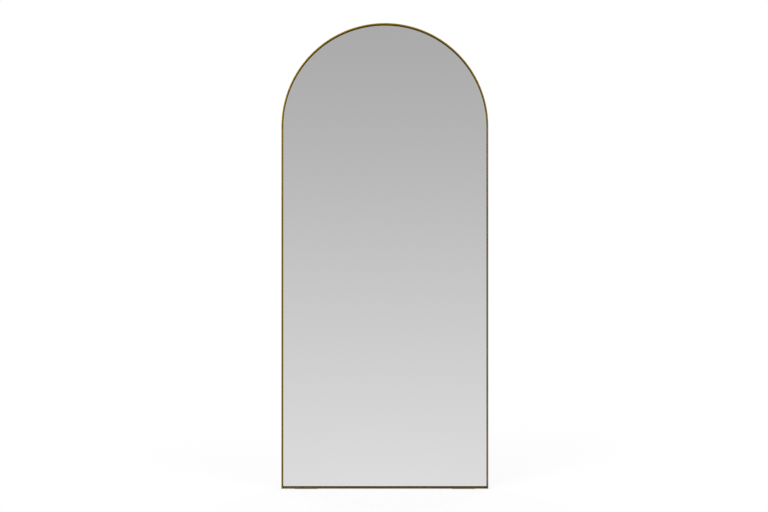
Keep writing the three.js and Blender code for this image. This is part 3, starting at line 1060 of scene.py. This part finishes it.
# What the mirror sees along a line of sight, by half of 1 + the sine of its angle over the
# horizon. With the pane's own 0.9 it gives an even fall-off from pale grey at the foot to mid grey
# at the top.
HORIZON_GLOW = 0.606
NEAR_FLOOR_GLOW = 0.803
SIGHT_GLOW = [
    (0, 0.9),
    (0.38, NEAR_FLOOR_GLOW),
    (0.5, HORIZON_GLOW),
    (0.54, 0.543),
    (0.58, 0.489),
    (0.622, 0.446),
    (0.8, 0.38),
    (1, 0.5),
]
# The floor's half width, and the grey that the light meets on it.
FLOOR_REACH = 40
FLOOR_GREY = 0.8
# The one length in millimetres, as Blender counts it.
SENSOR_WIDTH = 36
# Each lamp's name, place, width and the setting that holds its power.
LAMPS = (
    ("key_lamp", (-2.4, -3.0, 3.0), 2.6, "key_power"),
    ("fill_lamp", (3.0, -2.4, 2.6), 2.2, "fill_power"),
    ("back_left_lamp", (-2.6, 2.8, 2.8), 2.2, "back_power"),
    ("back_right_lamp", (2.4, 3.0, 2.4), 2.2, "back_power"),
)


class FLOORMIRROR_OT_studio(bpy.types.Operator):
    """Make the pale floor, the plain surroundings, the soft lamps and the camera"""

    bl_idname = "floor_mirror.studio"
    bl_label = "Studio"
    bl_options = {"REGISTER", "UNDO"}

    def execute(self, context):
        finish = context.scene.floor_mirror.studio
        context.scene.view_settings.view_transform = "Standard"
        self.surroundings(finish)
        self.floor(finish)
        middle = (cad_box[0] + cad_box[1]) / 2
        for name, place, width, power in LAMPS:
            self.lamp(name, place, middle, width, getattr(finish, power))
        self.camera(finish)
        return {"FINISHED"}

    def surroundings(self, finish):
        """White behind the mirror, a grey fall-off upwards in what it reflects, plain light."""
        world = bpy.data.worlds.new("plain_studio")
        bpy.context.scene.world = world
        tree = Tree(world)
        sight = tree.add("ShaderNodeTexCoord", output="Generated")
        up = tree.add("ShaderNodeSeparateXYZ", None, {0: sight}, output="Z")
        glow = tree.add("ShaderNodeValToRGB", {"stops": SIGHT_GLOW}, {0: up * 0.5 + 0.5})
        level = tree.mixed(tree.rays("Glossy"), (finish.ambient,) * 3, glow)
        level = tree.mixed(tree.seen(), level, (1, 1, 1))
        light = tree.add("ShaderNodeBackground", None, {"Color": level, "Strength": 1.0})
        tree.add("ShaderNodeOutputWorld", None, {"Surface": light})

    def floor(self, finish):
        """A large pale floor: white with a soft shadow to the eye, plain grey to the light."""
        reach = FLOOR_REACH
        corners = [(-reach, -reach, 0), (reach, -reach, 0), (reach, reach, 0), (-reach, reach, 0)]
        mesh = bpy.data.meshes.new("floor")
        mesh.from_pydata(corners, [], [(0, 1, 2, 3)])
        floor = bpy.data.objects.new("floor", mesh)
        bpy.context.scene.collection.objects.link(floor)
        material, tree = new_finish("pale_floor")
        mesh.materials.append(material)
        matt = tree.add("ShaderNodeBsdfDiffuse", None, {"Color": (FLOOR_GREY,) * 3})
        shaded = tree.add("ShaderNodeBsdfDiffuse", None, {"Color": (1, 1, 1)})
        white = tree.add("ShaderNodeEmission", None, {"Color": (1, 1, 1), "Strength": 1.0})
        length_of = {"operation": "LENGTH"}
        away = tree.add("ShaderNodeVectorMath", length_of, {0: tree.place()}, output="Value")
        shadow = finish.shadow_reach
        plain = away.ramp(shadow / 3, shadow, to=(finish.floor_white, 1))
        to_the_eye = tree.add("ShaderNodeMixShader", None, {0: plain, 1: shaded, 2: white})
        far = away / (away + finish.camera_distance)
        level = NEAR_FLOOR_GLOW - far * (NEAR_FLOOR_GLOW - HORIZON_GLOW)
        grey = tree.add("ShaderNodeCombineColor", None, {0: level, 1: level, 2: level})
        reflected = tree.add("ShaderNodeEmission", None, {"Color": grey, "Strength": 1.0})
        look = tree.add("ShaderNodeMixShader", None, {0: tree.seen(), 1: matt, 2: to_the_eye})
        shown = {0: tree.rays("Glossy"), 1: look, 2: reflected}
        look = tree.add("ShaderNodeMixShader", None, shown)
        tree.add("ShaderNodeOutputMaterial", None, {"Surface": look})

    def lamp(self, name, place, aim, width, power):
        light = bpy.data.lights.new(name, "AREA")
        light.shape = "DISK"
        light.size = width
        light.energy = power
        lamp = bpy.data.objects.new(name, light)
        lamp.location = place
        lamp.rotation_euler = (aim - lamp.location).to_track_quat("-Z", "Y").to_euler()
        bpy.context.scene.collection.objects.link(lamp)

    def camera(self, finish):
        data = bpy.data.cameras.new("camera")
        data.sensor_width = SENSOR_WIDTH
        data.lens = data.sensor_width * finish.camera_distance / finish.view_width
        camera = bpy.data.objects.new("camera", data)
        back_off = cad_box[0].y - finish.camera_distance
        camera.location = (finish.camera_side, back_off, finish.camera_height)
        camera.rotation_euler = (pi / 2, 0, 0)
        bpy.context.scene.collection.objects.link(camera)
        bpy.context.scene.camera = camera


# ---------------- panel and registration


class FLOORMIRROR_PT_panel(bpy.types.Panel):
    """Settings and steps of the floor mirror"""

    bl_idname = "FLOORMIRROR_PT_panel"
    bl_label = "Floor mirror"
    bl_space_type = "VIEW_3D"
    bl_region_type = "UI"
    bl_category = "Floor mirror"

    def draw(self, context):
        settings = context.scene.floor_mirror
        for group in settings.bl_rna.properties:
            if group.type != "POINTER" or group.identifier == "rna_type":
                continue
            box = self.layout.box()
            box.label(text=group.name)
            values = getattr(settings, group.identifier)
            for value in values.bl_rna.properties:
                if value.identifier not in ("rna_type", "name"):
                    box.prop(values, value.identifier)
        for step in STEPS:
            self.layout.operator(step.bl_idname)


STEPS = (
    FLOORMIRROR_OT_frame_bars,
    FLOORMIRROR_OT_pane,
    FLOORMIRROR_OT_back,
    FLOORMIRROR_OT_screws,
    FLOORMIRROR_OT_hangers,
    FLOORMIRROR_OT_rubber,
    FLOORMIRROR_OT_studio,
)
CLASSES = (
    BrassBarSettings,
    GlassSettings,
    BackSettings,
    HardwareSettings,
    StudioSettings,
    FloorMirrorSettings,
    *STEPS,
    FLOORMIRROR_PT_panel,
)


def register():
    for cls in CLASSES:
        bpy.utils.register_class(cls)
    bpy.types.Scene.floor_mirror = PointerProperty(type=FloorMirrorSettings)


def unregister():
    del bpy.types.Scene.floor_mirror
    for cls in reversed(CLASSES):
        bpy.utils.unregister_class(cls)


def main():
    register()
    bpy.ops.floor_mirror.frame_bars()
    bpy.ops.floor_mirror.pane()
    bpy.ops.floor_mirror.back()
    bpy.ops.floor_mirror.screws()
    bpy.ops.floor_mirror.hangers()
    bpy.ops.floor_mirror.rubber()
    bpy.ops.floor_mirror.studio()


if __name__ == "__main__":
    main()
